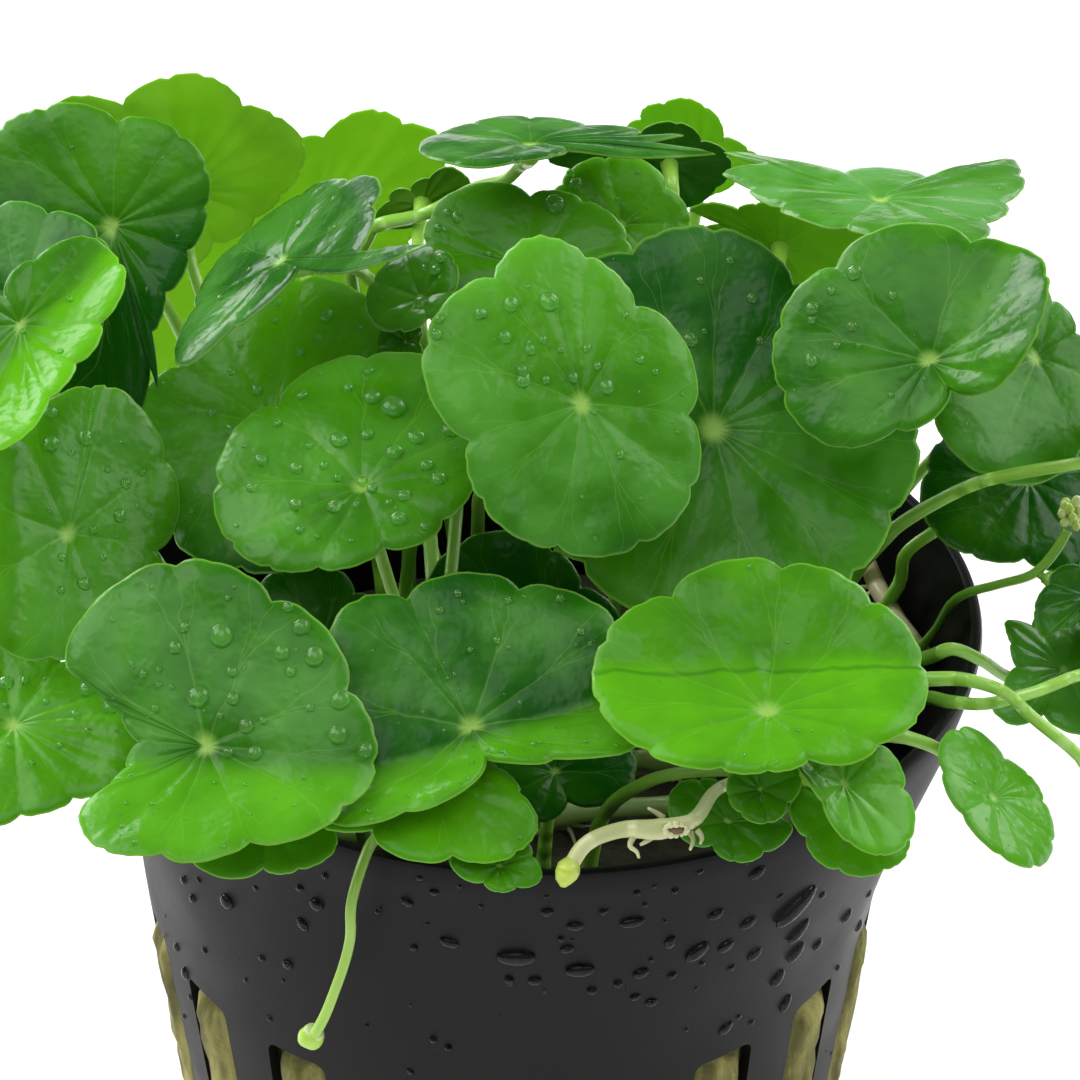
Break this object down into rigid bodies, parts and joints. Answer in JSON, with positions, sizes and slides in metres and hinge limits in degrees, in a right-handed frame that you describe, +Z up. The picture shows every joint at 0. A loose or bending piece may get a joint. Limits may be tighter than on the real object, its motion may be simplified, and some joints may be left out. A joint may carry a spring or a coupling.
{
  "type": "potted aquatic plant",
  "caption": "Whorled pennywort with round, scalloped leaves on thin stalks, growing from rockwool in a small slotted black net pot.",
  "frame": {"origin": "middle of the pot's flat base, on the surface it stands on", "axes": "+Z up, -Y towards the plain front panel of the pot, +X to the right as the picture shows it"},
  "size_m": [0.0792, 0.0748, 0.0837],
  "materials": {
    "pot_plastic": "satin, soft, wet",
    "rockwool": "fibrous, matte",
    "leaf": "glossy, waxy",
    "stem": "smooth, satin",
    "pale_stem": "smooth, satin"
  },
  "bodies": {
    "root": {"net_pot": "pot_plastic", "rockwool_plug": "rockwool", "runner_front": "stem", "runner_front_middle": "stem", "runner_middle": "stem", "runner_back_middle": "stem", "runner_back": "stem", "hanging_shoot": "stem", "flower_stem": "stem", "broken_runner": "pale_stem", "leaf_01": "leaf", "leaf_02": "leaf", "leaf_03": "leaf", "leaf_04": "leaf", "leaf_05": "leaf", "leaf_06": "leaf", "leaf_07": "leaf", "leaf_08": "leaf", "leaf_09": "leaf", "leaf_10": "leaf", "leaf_11": "leaf", "leaf_12": "leaf", "leaf_13": "leaf", "leaf_14": "leaf", "leaf_15": "leaf", "leaf_16": "leaf", "leaf_17": "leaf", "leaf_18": "leaf", "leaf_19": "leaf", "leaf_20": "leaf", "leaf_21": "leaf", "leaf_22": "leaf", "leaf_23": "leaf", "leaf_24": "leaf", "leaf_25": "leaf", "leaf_26": "leaf", "leaf_27": "leaf", "leaf_28": "leaf", "leaf_29": "leaf", "leaf_30": "leaf", "leaf_31": "leaf", "leaf_32": "leaf", "leaf_33": "leaf", "leaf_34": "leaf", "leaf_35": "leaf", "leaf_36": "leaf", "leaf_37": "leaf", "leaf_38": "leaf", "leaf_39": "leaf", "leaf_40": "leaf", "leaf_41": "leaf", "leaf_right_1": "leaf", "leaf_right_2": "leaf", "leaf_right_3": "leaf", "leaf_back_1": "leaf", "leaf_back_2": "leaf", "leaf_back_3": "leaf"}
  },
  "joints": []
}
